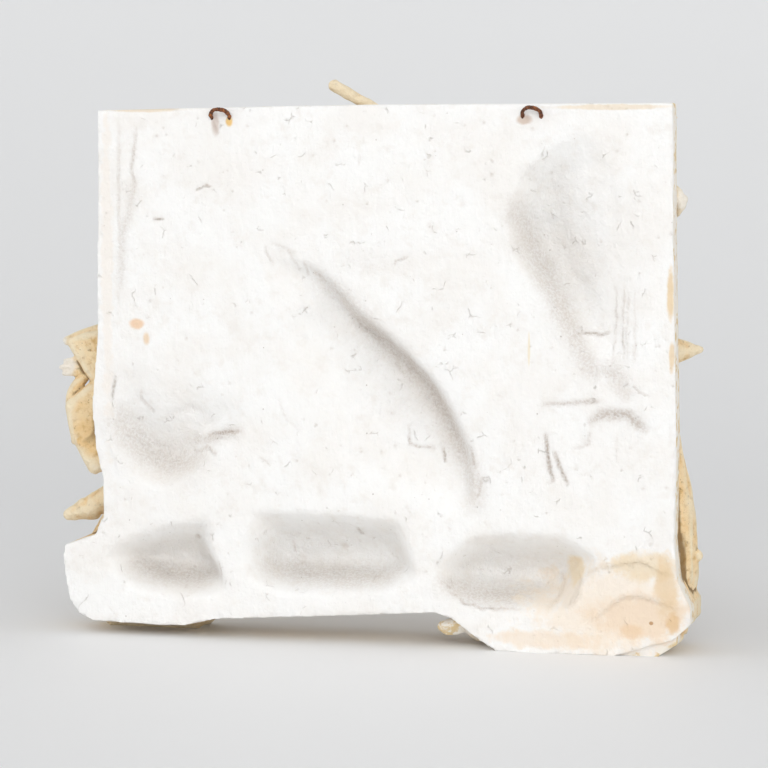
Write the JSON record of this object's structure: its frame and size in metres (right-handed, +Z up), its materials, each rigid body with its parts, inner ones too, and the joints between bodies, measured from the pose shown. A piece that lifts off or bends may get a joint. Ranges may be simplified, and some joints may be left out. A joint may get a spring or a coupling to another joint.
{
  "type": "plaster relief panel",
  "caption": "Cast plaster relief panel on a footed ledge, its back hollowed behind the figures, with wire loops near the top of the back to hang it by.",
  "frame": {"origin": "middle of the underside of the whole panel, at the level of the floor it stands on", "axes": "+Z up, -Y out of the front where the relief faces, +Y out of the hollowed back, +X to the right of someone who looks at the front"},
  "size_m": [0.594, 0.1071, 0.5014],
  "materials": {
    "plaster": "matt, hand-levelled on the back and tinted ochre on the front",
    "iron_wire": "rusted"
  },
  "bodies": {
    "root": {"plaster_relief": "plaster", "hanging_wire_left": "iron_wire", "hanging_wire_right": "iron_wire"}
  },
  "joints": []
}
